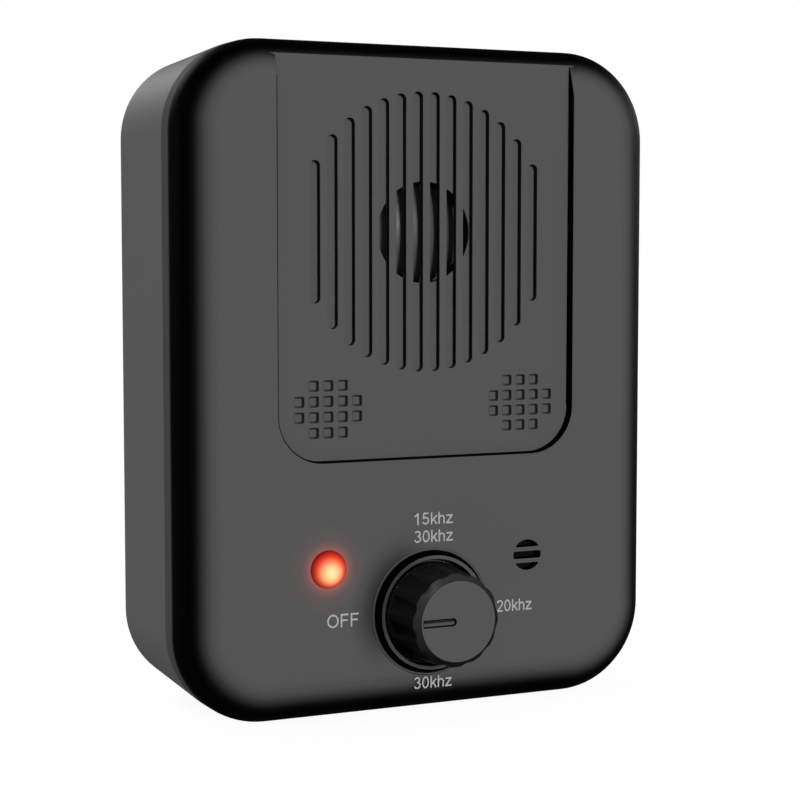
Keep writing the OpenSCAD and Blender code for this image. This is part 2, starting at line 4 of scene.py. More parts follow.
import bmesh
import bpy
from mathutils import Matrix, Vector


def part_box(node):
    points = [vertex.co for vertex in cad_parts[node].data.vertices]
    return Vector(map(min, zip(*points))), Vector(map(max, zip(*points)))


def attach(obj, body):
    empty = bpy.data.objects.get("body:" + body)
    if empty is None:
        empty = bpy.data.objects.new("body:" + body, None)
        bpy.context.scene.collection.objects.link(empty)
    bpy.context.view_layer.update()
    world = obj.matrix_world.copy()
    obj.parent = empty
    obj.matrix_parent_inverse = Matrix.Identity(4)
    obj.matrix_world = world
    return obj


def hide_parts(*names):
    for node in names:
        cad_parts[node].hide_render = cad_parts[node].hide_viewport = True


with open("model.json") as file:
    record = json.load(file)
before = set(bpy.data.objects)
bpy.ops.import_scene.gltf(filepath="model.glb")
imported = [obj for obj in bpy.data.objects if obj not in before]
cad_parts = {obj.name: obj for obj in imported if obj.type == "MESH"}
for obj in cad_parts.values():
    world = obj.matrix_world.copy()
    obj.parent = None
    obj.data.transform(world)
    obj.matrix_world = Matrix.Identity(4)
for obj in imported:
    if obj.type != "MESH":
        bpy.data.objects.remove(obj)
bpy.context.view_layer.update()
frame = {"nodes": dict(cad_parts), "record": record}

# ---------- the frame's own places, in millimetres ----------

MM = 0.001


def box_mm(node):
    """A node's lowest and highest corner, in millimetres."""
    low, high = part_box(node)
    return [c / MM for c in low], [c / MM for c in high]


def centre_xz(node):
    """The middle of a node's box, as X and Z in millimetres."""
    low, high = box_mm(node)
    return (low[0] + high[0]) / 2, (low[2] + high[2]) / 2


COVER_LOW, COVER_HIGH = box_mm("front_cover")
REAR_HIGH = box_mm("rear_housing")[1]
SPEAKER = centre_xz("speaker_gasket")
DIAL = centre_xz("knob")
LAMP = centre_xz("led_lens")
MIC = centre_xz("microphone_mesh")

# ---------- sizes, in millimetres ----------

# The case: its outline, its rounded front edge and its slightly tapering rear half
CASE_W = COVER_HIGH[0] - COVER_LOW[0]
CASE_H = COVER_HIGH[2] - COVER_LOW[2]
CASE_D = 42.0
FRONT_Y = REAR_HIGH[1] - CASE_D
CORNER_R = 17.7
CORNER_STEPS = 20
WALL = 2.4
ROUND_IN = 10.0
ROUND_DEEP = 6.5
PARTING = 11.3
DRAFT = 1.25
BACK_R = 2.0
# The cover's hollow, from its open end: how much further in than the wall it is, and at what depth
HOLLOW = [(0, PARTING + 2), (0, 5), (1, 3.8), (3, WALL + 0.3)]

# The recessed panel, which runs out over the top edge, and the solid backing behind it
PANEL_HALF = 31.5
PANEL_Z = 50.2
PANEL_TOP = CASE_H + 12
PANEL_R = 9.0
PANEL_DEEP = 1.8
PANEL_EDGE = 0.32
BACKING = 4.2
BACKING_MARGIN = 2.5

# The square dimples: the top row's height and the blocks' distance from the middle
DIMPLE_HALF = 1.0
DIMPLE_DEEP = 0.6
DIMPLE_PITCH = 3.0
DIMPLE_X = 20.8
DIMPLE_Z = 64.6

# The round field of grooves, and the opening behind its middle
GROOVES = 14
GROOVE_PITCH = 3.6
GROOVE_W = 2.0
GROOVE_FLOOR = 3.1
GRILLE_R = 27.0
SOUND_R = 9.8

# The dial's collar: a thin flange, a leaning wall and a flat rim around a well
FLANGE_R = 12.55
FLANGE_H = 0.25
COLLAR_FOOT_R = 12.1
COLLAR_RIM_R = 11.14
COLLAR_BORE_R = 10.35
COLLAR_H = 1.9
COLLAR_ROOT = 1.2
WELL_R = 11.0
WELL_DEEP = 0.6

# Holes in the face
BUSHING_HOLE_R = 4.6
LENS_HOLE_R = 3.65
MIC_R = 3.05
SLIT_PITCH = 2.34
SLIT_HALF = 0.7

# The rear housing's screw posts, foot and keyhole
SCREW_X = 38.0
SCREW_IN = 12.0
POST_R = 4.8
POST_FRONT = 14.0
HEAD_WELL_R = 3.3
HEAD_SEAT = 16.0
SCREW_HOLE_R = 1.7
FOOT_HALF = 28.0
FOOT_BACK = 38.5
KEY_Z = 98.0
KEY_R = 4.0
KEY_SLOT = 2.1
KEY_RISE = 8.0

# The charging port in the right side, and the pocket that its flap lies in
PORT_DEEP = 17.0
PORT_Z = 33.4
PORT_R = 1.95
PORT_RISE = 4.6
FLAP_R = 4.4
FLAP_Z = (24.3, 40.7)
FLAP_ROOM = 0.4
PAD_Z = (23.0, 43.0)
PAD_X = 46.4
POCKET_X = 48.9

# The knob: cap, bevel, fluted side, plain foot ring, and the hollow that the collar stands in
KNOB_H = 12.4
CAP_R = 7.85
BEVEL_H = 1.3
SHOULDER_R = 9.05
SIDE_R = 9.07
SIDE_LEAN = 0.6
SIDE_END = -1.75
FOOT_RING_R = 9.9
KNOB_HOLLOW_R = 7.6
SHAFT_R = 3.02
FLUTES = 12
FLUTE_R = 2.6
FLUTE_C = 11.3
POINTER_IN = 1.2
POINTER_OUT = CAP_R - 0.35

# ---------- camera ----------

camera_data = bpy.data.cameras.new("camera")
camera = bpy.data.objects.new("camera", camera_data)
bpy.context.scene.collection.objects.link(camera)
bpy.context.scene.camera = camera
camera_data.sensor_width = 36.0
camera_data.lens = 89.064
camera_data.clip_start = 0.01
camera_data.clip_end = 20.0
camera.location = (-0.169039, -0.365091, 0.090725)
camera.rotation_euler = (math.radians(90 - 4.383), 0.0, -math.radians(25.280))

# ---------- mesh helpers ----------


def place(x, depth, z):
    """A point of the frame in metres, from X, the depth behind the front face, and Z in millimetres."""
    return (x * MM, (FRONT_Y + depth) * MM, z * MM)


def make_mesh(name, points, faces):
    """A closed object from points in millimetres and faces, with its normals outward."""
    mesh = bpy.data.meshes.new(name)
    mesh.from_pydata([place(*p) for p in points], [], faces)
    work = bmesh.new()
    work.from_mesh(mesh)
    bmesh.ops.recalc_face_normals(work, faces=work.faces)
    work.to_mesh(mesh)
    work.free()
    obj = bpy.data.objects.new(name, mesh)
    bpy.context.scene.collection.objects.link(obj)
    return obj


def loft(name, rings):
    """A closed solid through rings of equal length, lists of (x, depth, z), capped at both ends."""
    count = len(rings[0])
    points = [p for ring in rings for p in ring]
    faces = []
    for i in range(len(rings) - 1):
        for k in range(count):
            n = (k + 1) % count
            faces.append((i * count + k, (i + 1) * count + k, (i + 1) * count + n, i * count + n))
    faces.append(tuple(range(count)))
    last = (len(rings) - 1) * count
    faces.append(tuple(last + k for k in reversed(range(count))))
    return make_mesh(name, points, faces)


def prism(name, outline, d0, d1):
    """A flat outline of (x, z) points made solid from depth d0 to depth d1."""
    return loft(name, [[(x, d, z) for x, z in outline] for d in (d0, d1)])


def turned(name, centre, profile, sides):
    """A solid of revolution along the depth: the profile is a closed loop of (radius, depth)."""
    cx, cz = centre
    points = []
    faces = []
    count = len(profile)
    for k in range(sides):
        a = 2 * math.pi * k / sides
        points += [(cx + r * math.cos(a), d, cz + r * math.sin(a)) for r, d in profile]
    for k in range(sides):
        n = (k + 1) % sides
        for i in range(count):
            j = (i + 1) % count
            faces.append((k * count + i, k * count + j, n * count + j, n * count + i))
    return make_mesh(name, points, faces)


def circle(cx, cz, r, sides):
    """A circle as a loop of (x, z)."""
    angles = [2 * math.pi * k / sides for k in range(sides)]
    return [(cx + r * math.cos(a), cz + r * math.sin(a)) for a in angles]


def rod(name, centre, r, d0, d1, sides=96):
    """A round bar along the depth."""
    return prism(name, circle(centre[0], centre[1], r, sides), d0, d1)


def round_rect(x0, x1, z0, z1, r, steps=8):
    """A rectangle with round corners, as a loop of (x, z)."""
    loop = []
    corners = ((x1 - r, z1 - r), (x0 + r, z1 - r), (x0 + r, z0 + r), (x1 - r, z0 + r))
    for quarter, (cx, cz) in enumerate(corners):
        for k in range(steps + 1):
            a = math.radians(90 * quarter + 90 * k / steps)
            loop.append((cx + r * math.cos(a), cz + r * math.sin(a)))
    return loop


def stadium(depth, z0, z1, r, steps=20):
    """A slot with round ends, as a loop of (depth, z)."""
    loop = []
    for cz, turn in ((z1 - r, 0), (z0 + r, 180)):
        for k in range(steps + 1):
            a = math.radians(turn + 180 * k / steps)
            loop.append((depth + r * math.cos(a), cz + r * math.sin(a)))
    return loop


def sideways(name, outline, x0, x1):
    """A flat outline of (depth, z) points made solid from x0 to x1."""
    return loft(name, [[(x, d, z) for d, z in outline] for x in (x0, x1)])


def merged(name, objects):
    """One object from several that don't touch each other."""
    work = bmesh.new()
    for obj in objects:
        work.from_mesh(obj.data)
        bpy.data.objects.remove(obj)
    mesh = bpy.data.meshes.new(name)
    work.to_mesh(mesh)
    work.free()
    result = bpy.data.objects.new(name, mesh)
    bpy.context.scene.collection.objects.link(result)
    return result


def settle(obj):
    """Applies an object's modifiers to its mesh."""
    graph = bpy.context.evaluated_depsgraph_get()
    mesh = bpy.data.meshes.new_from_object(obj.evaluated_get(graph))
    obj.modifiers.clear()
    obj.data = mesh


def combine(target, tool, operation):
    """Cuts the tool out of the target, or joins it on, and deletes the tool."""
    step = target.modifiers.new("combine", "BOOLEAN")
    step.operation = operation
    step.solver = "EXACT"
    step.object = tool
    settle(target)
    bpy.data.objects.remove(tool)


def finish_edges(obj, width, shade=40):
    """Cleans the mesh, breaks its sharp edges with a small radius and shades the rest smooth."""
    work = bmesh.new()
    work.from_mesh(obj.data)
    bmesh.ops.remove_doubles(work, verts=work.verts, dist=2e-6)
    bmesh.ops.dissolve_limit(
        work, angle_limit=math.radians(0.4), verts=work.verts, edges=work.edges, use_dissolve_boundaries=False
    )
    work.to_mesh(obj.data)
    work.free()
    if width:
        edge = obj.modifiers.new("edges", "BEVEL")
        edge.width = width * MM
        edge.segments = 2
        edge.limit_method = "ANGLE"
        edge.angle_limit = math.radians(35)
        edge.use_clamp_overlap = False
        edge.miter_outer = "MITER_ARC"
        settle(obj)
    obj.data.shade_smooth()
    obj.data.set_sharp_from_angle(angle=math.radians(shade))
    normals = obj.modifiers.new("normals", "WEIGHTED_NORMAL")
    normals.keep_sharp = True
    normals.weight = 60
    settle(obj)


# ---------- front cover ----------


def case_ring(inset, depth):
    """The case's outline at one depth, drawn in by an inset."""
    half = CASE_W / 2 - inset
    loop = round_rect(-half, half, inset, CASE_H - inset, CORNER_R - inset, CORNER_STEPS)
    return [(x, depth, z) for x, z in loop]


def front_form():
    """The cover's outside: straight sides, then a quarter round in to the flat face."""
    rings = [case_ring(0, PARTING), case_ring(0, ROUND_DEEP + 1.2)]
    steps = 28
    for i in range(steps + 1):
        a = math.radians(90 * i / steps)
        rings.append(case_ring(ROUND_IN * (1 - math.cos(a)), ROUND_DEEP * (1 - math.sin(a))))
    return loft("front_form", rings)


def panel_loop(grow, top=PANEL_TOP):
    """The panel's outline, with its lower corners rounded and its top at a given height."""
    return round_rect(-PANEL_HALF - grow, PANEL_HALF + grow, PANEL_Z - grow, top, PANEL_R + grow, 14)


def groove_loop(x):
    """The outline of one groove: a slot with round ends that reach the edge of the round field."""
    cx, cz = SPEAKER
    half = GROOVE_W / 2
    reach = math.sqrt(GRILLE_R**2 - x * x) - half
    loop = []
    for end in (1, -1):
        for k in range(13):
            a = math.pi * k / 12
            loop.append((cx + x + end * half * math.cos(a), cz + end * (reach + half * math.sin(a))))
    return loop


def slit_loop(centre, r, z0, z1):
    """The part of a disc between two heights."""
    cx, cz = centre
    a0, a1 = math.asin(z0 / r), math.asin(z1 / r)
    steps = 10
    right = [(a0 + (a1 - a0) * k / steps) for k in range(steps + 1)]
    loop = [(cx + r * math.cos(a), cz + r * math.sin(a)) for a in right]
    loop += [(cx - r * math.cos(a), cz + r * math.sin(a)) for a in reversed(right)]
    return loop


def dimple(x, z):
    """A square dimple's cutter: its walls slope in towards its floor."""
    rings = []
    for half, depth in ((DIMPLE_HALF + 0.1, PANEL_DEEP - 0.3), (DIMPLE_HALF - 0.2, PANEL_DEEP + DIMPLE_DEEP)):
        loop = round_rect(x - half, x + half, z - half, z + half, half * 0.3, 4)
        rings.append([(px, depth, pz) for px, pz in loop])
    return loft("dimple", rings)


def dimple_cutters():
    """Both blocks of dimples, each with rows of three, five, five and three."""
    cutters = []
    for side in (-1, 1):
        for row in range(4):
            for col in range(-2, 3):
                if row in (1, 2) or abs(col) < 2:
                    x = side * DIMPLE_X + col * DIMPLE_PITCH
                    cutters.append(dimple(x, DIMPLE_Z - row * DIMPLE_PITCH))
    return cutters


def groove_cutters():
    """The field's grooves, from left to right."""
    cutters = []
    for i in range(GROOVES):
        x = (i - (GROOVES - 1) / 2) * GROOVE_PITCH
        cutters.append(prism("groove", groove_loop(x), 0.5, GROOVE_FLOOR))
    return cutters


def make_collar():
    """The ring around the dial, with its edges broken and its root sunk in the face."""
    profile = [
        (FLANGE_R, COLLAR_ROOT),
        (FLANGE_R, -0.08),
        (FLANGE_R - 0.12, -FLANGE_H),
        (COLLAR_FOOT_R, -FLANGE_H),
        (COLLAR_FOOT_R - 0.08, -FLANGE_H - 0.11),
        (COLLAR_RIM_R + 0.28, -COLLAR_H + 0.28),
        (COLLAR_RIM_R + 0.16, -COLLAR_H + 0.08),
        (COLLAR_RIM_R, -COLLAR_H),
        (COLLAR_BORE_R + 0.27, -COLLAR_H),
        (COLLAR_BORE_R + 0.11, -COLLAR_H + 0.1),
        (COLLAR_BORE_R, -COLLAR_H + 0.35),
        (COLLAR_BORE_R, COLLAR_ROOT),
    ]
    return turned("collar", DIAL, profile, 144)


def face_holes():
    """The holes for the switch's bushing and the lamp, and the microphone's three slits."""
    holes = [rod("bushing", DIAL, BUSHING_HOLE_R, -1, 6), rod("lamp", LAMP, LENS_HOLE_R, -1, 8)]
    for k in (-1, 0, 1):
        slit = slit_loop(MIC, MIC_R, k * SLIT_PITCH - SLIT_HALF, k * SLIT_PITCH + SLIT_HALF)
        holes.append(prism("slit", slit, -1, 8))
    return holes


def make_front_cover():
    """The cover: a hollow form, cut by the panel, its grooves and dimples, and joined by the collar."""
    cover = front_form()
    inner = loft("inner", [case_ring(WALL + inset, depth) for inset, depth in HOLLOW])
    combine(inner, prism("backing", panel_loop(BACKING_MARGIN, CASE_H + 4), 0, BACKING), "DIFFERENCE")
    combine(cover, inner, "DIFFERENCE")
    combine(cover, prism("panel", panel_loop(0), -3, PANEL_DEEP), "DIFFERENCE")
    slope = [[(x, d, z) for x, z in panel_loop(PANEL_EDGE - d)] for d in (-0.5, PANEL_EDGE)]
    combine(cover, loft("panel_edge", slope), "DIFFERENCE")
    combine(cover, merged("grooves", groove_cutters() + dimple_cutters()), "DIFFERENCE")
    combine(cover, rod("sound", SPEAKER, SOUND_R, GROOVE_FLOOR - 0.1, BACKING + 2, 128), "DIFFERENCE")
    combine(cover, rod("well", DIAL, WELL_R, -1, WELL_DEEP, 128), "DIFFERENCE")
    combine(cover, make_collar(), "UNION")
    combine(cover, merged("holes", face_holes()), "DIFFERENCE")
    return cover


cover = make_front_cover()
cover.name = "cover_shell"
finish_edges(cover, 0.17)
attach(cover, "case")
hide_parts("front_cover")

# ---------- rear housing ----------


def rear_ring(depth):
    """The rear housing's outline at one depth: tapering sides and a round back edge."""
    t = (depth - PARTING) / (CASE_D - PARTING)
    inset = DRAFT * t
    over = depth - (CASE_D - BACK_R)
    if over > 0:
        inset += BACK_R - math.sqrt(max(BACK_R * BACK_R - over * over, 0))
    return case_ring(inset, depth)


def keyhole_loops():
    """The keyhole's pocket, the boss around it, and the keyhole itself, each as a loop of (x, z)."""
    half = KEY_R + 0.6
    top = KEY_Z + half + KEY_RISE - KEY_R + KEY_SLOT
    pocket = round_rect(-half, half, KEY_Z - half, top, 0.8, 4)
    boss = round_rect(-half - 1.4, half + 1.4, KEY_Z - half - 1.4, top + 1.4, 1.5, 6)
    a0 = math.asin(KEY_SLOT / KEY_R)
    loop = []
    for k in range(49):
        a = math.pi / 2 + a0 + (2 * math.pi - 2 * a0) * k / 48
        loop.append((KEY_R * math.cos(a), KEY_Z + KEY_R * math.sin(a)))
    for k in range(17):
        a = math.pi * k / 16
        loop.append((KEY_SLOT * math.cos(a), KEY_Z + KEY_RISE + KEY_SLOT * math.sin(a)))
    return pocket, boss, loop


def screw_posts(inner_d):
    """The four posts that the case screws draw on, and the wells and holes to cut into them."""
    posts = []
    cutters = []
    for x in (-SCREW_X, SCREW_X):
        for z in (SCREW_IN, CASE_H - SCREW_IN):
            posts.append(rod("post", (x, z), POST_R, POST_FRONT, inner_d + 0.8, 48))
            cutters.append(rod("well", (x, z), HEAD_WELL_R, HEAD_SEAT, CASE_D + 2, 64))
            cutters.append(rod("hole", (x, z), SCREW_HOLE_R, 10, HEAD_SEAT - 0.5, 48))
    return merged("posts", posts), merged("wells", cutters)


def cut_port(housing):
    """A pad inside the right wall, the flap's pocket in its outside, and the port through both."""
    pad = round_rect(PAD_Z[0], PAD_Z[1], PORT_DEEP - 4.9, PORT_DEEP + 5.4, 0.5, 4)
    combine(housing, sideways("pad", [(d, z) for z, d in pad], PAD_X, 49), "UNION")
    flap = stadium(PORT_DEEP, FLAP_Z[0] - FLAP_ROOM, FLAP_Z[1] + FLAP_ROOM, FLAP_R)
    combine(housing, sideways("pocket", flap, POCKET_X, 56), "DIFFERENCE")
    port = stadium(PORT_DEEP, PORT_Z - PORT_RISE, PORT_Z + PORT_RISE, PORT_R)
    combine(housing, sideways("port", port, 44, 50), "DIFFERENCE")


def make_rear_housing():
    """The rear housing: a hollow, tapering tray with its foot, screw posts, keyhole and port."""
    depths = [PARTING, PARTING + 0.6, 25, CASE_D - BACK_R]
    depths += [CASE_D - BACK_R * (1 - math.sin(math.radians(90 * k / 10))) for k in range(1, 11)]
    housing = loft("rear_form", [rear_ring(d) for d in depths])
    inner_d = CASE_D - WALL + 0.2
    inner = loft("rear_inner", [case_ring(WALL, PARTING - 1), case_ring(WALL + 0.9, inner_d)])
    combine(housing, inner, "DIFFERENCE")
    sole = WALL + 0.4
    foot = [(-FOOT_HALF, 0), (FOOT_HALF, 0), (FOOT_HALF, sole), (-FOOT_HALF, sole)]
    combine(housing, prism("foot", foot, PARTING, FOOT_BACK), "UNION")
    posts, wells = screw_posts(inner_d)
    combine(housing, posts, "UNION")
    pocket, boss, keyhole = keyhole_loops()
    combine(housing, prism("key_boss", boss, inner_d - 4.4, inner_d + 0.8), "UNION")
    combine(housing, prism("key_pocket", pocket, inner_d - 3, inner_d), "DIFFERENCE")
    combine(housing, wells, "DIFFERENCE")
    combine(housing, prism("keyhole", keyhole, inner_d - 1, CASE_D + 2), "DIFFERENCE")
    cut_port(housing)
    return housing


housing = make_rear_housing()
housing.name = "housing_shell"
finish_edges(housing, 0.14)
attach(housing, "case")
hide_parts("rear_housing")

# ---------- knob ----------


def soft_min(a, b, k):
    """The smaller of two numbers, blended over a width of k."""
    h = max(k - abs(a - b), 0.0) / k
    return min(a, b) - h * h * k / 4


def fluted(r, angle):
    """A radius drawn in where a finger flute passes."""
    step = 2 * math.pi / FLUTES
    off = (angle % step) - step / 2
    across = FLUTE_C * math.sin(off)
    if abs(across) >= FLUTE_R:
        return r
    return soft_min(r, FLUTE_C * math.cos(off) - math.sqrt(FLUTE_R**2 - across**2), 0.28)


def knob_outline():
    """The knob's outline from its cap to its shaft hole: radius, depth, and whether the flutes cut it."""
    side_top = -KNOB_H + BEVEL_H
    side_start = side_top + 0.12
    outline = [
        (CAP_R - 0.5, -KNOB_H, False),
        (CAP_R - 0.14, -KNOB_H + 0.005, False),
        (CAP_R + 0.05, -KNOB_H + 0.1, False),
    ]
    for t in (0.25, 0.5, 0.75, 0.88):
        outline.append((CAP_R + (SHOULDER_R - CAP_R) * t, -KNOB_H + BEVEL_H * t, True))
    outline += [(SIDE_R - 0.04, side_top - 0.04, True), (SIDE_R, side_start, True)]
    for t in (0.1, 0.3, 0.5, 0.7, 0.9, 1.0):
        outline.append((SIDE_R + SIDE_LEAN * t, side_start + (SIDE_END - side_start) * t, True))
    outline += [
        (FOOT_RING_R - 0.18, -1.62, True),
        (FOOT_RING_R - 0.18, -1.5, False),
        (FOOT_RING_R - 0.1, -1.32, False),
        (FOOT_RING_R - 0.02, -1.2, False),
        (FOOT_RING_R, -1.05, False),
        (FOOT_RING_R, -0.3, False),
        (FOOT_RING_R - 0.1, -0.2, False),
        (KNOB_HOLLOW_R + 0.1, -0.2, False),
        (KNOB_HOLLOW_R, -0.3, False),
        (KNOB_HOLLOW_R, -4.1, False),
        (KNOB_HOLLOW_R - 0.1, -4.2, False),
        (SHAFT_R, -4.2, False),
        (SHAFT_R, -10.5, False),
    ]
    return outline


def pointer_cutter():
    """The pointer groove's cutter: its walls slope in, and its inner end is round."""
    cx, cz = DIAL
    tip = [math.radians(-90 + 180 * k / 16) for k in range(17)]
    rings = []
    for half, depth in ((1.0, -KNOB_H - 0.5), (0.78, -KNOB_H), (0.54, -KNOB_H + 0.5)):
        ring = [(cx - POINTER_IN + half * math.cos(a), depth, cz + half * math.sin(a)) for a in tip]
        ring += [(cx - POINTER_OUT, depth, cz + half), (cx - POINTER_OUT, depth, cz - half)]
        rings.append(ring)
    return loft("pointer", rings)


def make_knob():
    """The knob: rings through its outline, drawn in at the flutes, with the pointer cut into its cap."""
    cx, cz = DIAL
    turn = [2 * math.pi * k / 360 for k in range(360)]
    rings = []
    for r, depth, cut in knob_outline():
        radii = [fluted(r, a) if cut else r for a in turn]
        rings.append([(cx + rr * math.cos(a), depth, cz + rr * math.sin(a)) for rr, a in zip(radii, turn)])
    knob = loft("knob_form", rings)
    combine(knob, pointer_cutter(), "DIFFERENCE")
    return knob


knob = make_knob()
knob.name = "dial_knob"
finish_edges(knob, 0, shade=50)
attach(knob, "dial")
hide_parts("knob")

# ---------- dial marks ----------

# Plain upright lettering, drawn as strokes in units of the type size
STEM = 0.092
CAP_H = 0.716


def arc(cx, cz, rx, rz, a0, a1, steps=14):
    """Points along part of an ellipse, from one angle to the other in degrees."""
    angles = [math.radians(a0 + (a1 - a0) * k / steps) for k in range(steps + 1)]
    return [(cx + rx * math.cos(a), cz + rz * math.sin(a)) for a in angles]


UPRIGHT = [(0.11, 0), (0.11, CAP_H)]
ROUND = 360
GLYPHS = {
    "0": (0.556, [arc(0.278, 0.358, 0.19, 0.313, 0, ROUND, 40)]),
    "1": (0.556, [[(0.33, 0), (0.33, CAP_H)], [(0.11, 0.51), (0.25, 0.585), (0.335, 0.69)]]),
    "2": (
        0.556,
        [arc(0.275, 0.502, 0.185, 0.169, 165, -40) + [(0.11, 0.06)], [(0.045, 0.043), (0.505, 0.043)]],
    ),
    "3": (0.556, [arc(0.26, 0.53, 0.16, 0.141, 160, -95), arc(0.265, 0.218, 0.187, 0.173, 95, -165)]),
    "5": (0.556, [[(0.475, 0.672), (0.17, 0.672), (0.122, 0.36)], arc(0.275, 0.235, 0.187, 0.19, 140, -162)]),
    "F": (0.611, [[(0.13, 0), (0.13, CAP_H)], [(0.1, 0.673), (0.565, 0.673)], [(0.1, 0.366), (0.5, 0.366)]]),
    "O": (0.778, [arc(0.389, 0.358, 0.302, 0.318, 0, ROUND, 48)]),
    "h": (0.556, [UPRIGHT, [(0.115, 0.28)] + arc(0.28, 0.318, 0.164, 0.158, 160, 0) + [(0.444, 0)]]),
    "k": (0.5, [UPRIGHT, [(0.12, 0.19), (0.46, 0.52)], [(0.235, 0.31), (0.455, 0)]]),
    "z": (0.5, [[(0.04, 0.48), (0.455, 0.48)], [(0.44, 0.5), (0.06, 0.03)], [(0.03, 0.04), (0.475, 0.04)]]),
}


def ribbon(path, half):
    """A path moved sideways: half a stroke's width to its left, or with a minus sign to its right."""
    side = []
    for i, p in enumerate(path):
        a, b = path[max(i - 1, 0)], path[min(i + 1, len(path) - 1)]
        if path[0] == path[-1] and i in (0, len(path) - 1):
            a, b = path[-2], path[1]
        before = math.atan2(p[1] - a[1], p[0] - a[0]) if p != a else math.atan2(b[1] - p[1], b[0] - p[0])
        after = math.atan2(b[1] - p[1], b[0] - p[0]) if p != b else before
        turn = (after - before + math.pi) % (2 * math.pi) - math.pi
        across = before + turn / 2 + math.pi / 2
        reach = half / math.cos(turn / 2)
        side.append((p[0] + reach * math.cos(across), p[1] + reach * math.sin(across)))
    return side


def stroke_solid(path, to_mm):
    """A stroke made solid, a hair proud of the face; to_mm turns type units into X and Z."""
    back, front = 0.02, -0.03
    left = [to_mm(p) for p in ribbon(path, STEM / 2)]
    right = [to_mm(p) for p in ribbon(path, -STEM / 2)]
    if math.dist(path[0], path[-1]) > 1e-6:
        return prism("stroke", left + right[::-1], front, back)
    outer = prism("stroke", right[:-1], front, back)
    combine(outer, prism("hole", left[:-1], front - 0.1, back + 0.1), "DIFFERENCE")
    return outer


def mark(name, words, x, z, width, height):
    """Lettering printed on the face: x and z are the middle of its box, in millimetres."""
    strokes = []
    at = 0.0
    for letter in words:
        advance, paths = GLYPHS[letter]
        strokes.append([[(px + at, pz) for px, pz in path] for path in paths])
        at += advance
    edge = [p for paths in strokes for path in paths for h in (-1, 1) for p in ribbon(path, h * STEM / 2)]
    low = [min(p[k] for p in edge) for k in (0, 1)]
    size = [max(p[k] for p in edge) - low[k] for k in (0, 1)]

    def to_mm(p):
        return x + ((p[0] - low[0]) / size[0] - 0.5) * width, z + ((p[1] - low[1]) / size[1] - 0.5) * height

    letters = []
    for paths in strokes:
        letter = stroke_solid(paths[0], to_mm)
        for path in paths[1:]:
            combine(letter, stroke_solid(path, to_mm), "UNION")
        letters.append(letter)
    obj = merged(name, letters)
    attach(obj, "case")
    return obj


# Name, lettering, middle X and Z, width and height
MARKS = [
    mark("mark_top_upper", "15khz", 0.73, 38.15, 8.4, 2.45),
    mark("mark_top_lower", "30khz", 0.73, 34.67, 8.4, 2.45),
    mark("mark_off", "OFF", -18.65, 19.52, 6.55, 2.6),
    mark("mark_right", "20khz", 18.7, 19.65, 7.9, 2.45),
    mark("mark_bottom", "30khz", 0.6, 5.8, 8.25, 2.45),
]

# ---------- materials ----------

FACE_GREY = (0.0885, 0.0885, 0.0885)


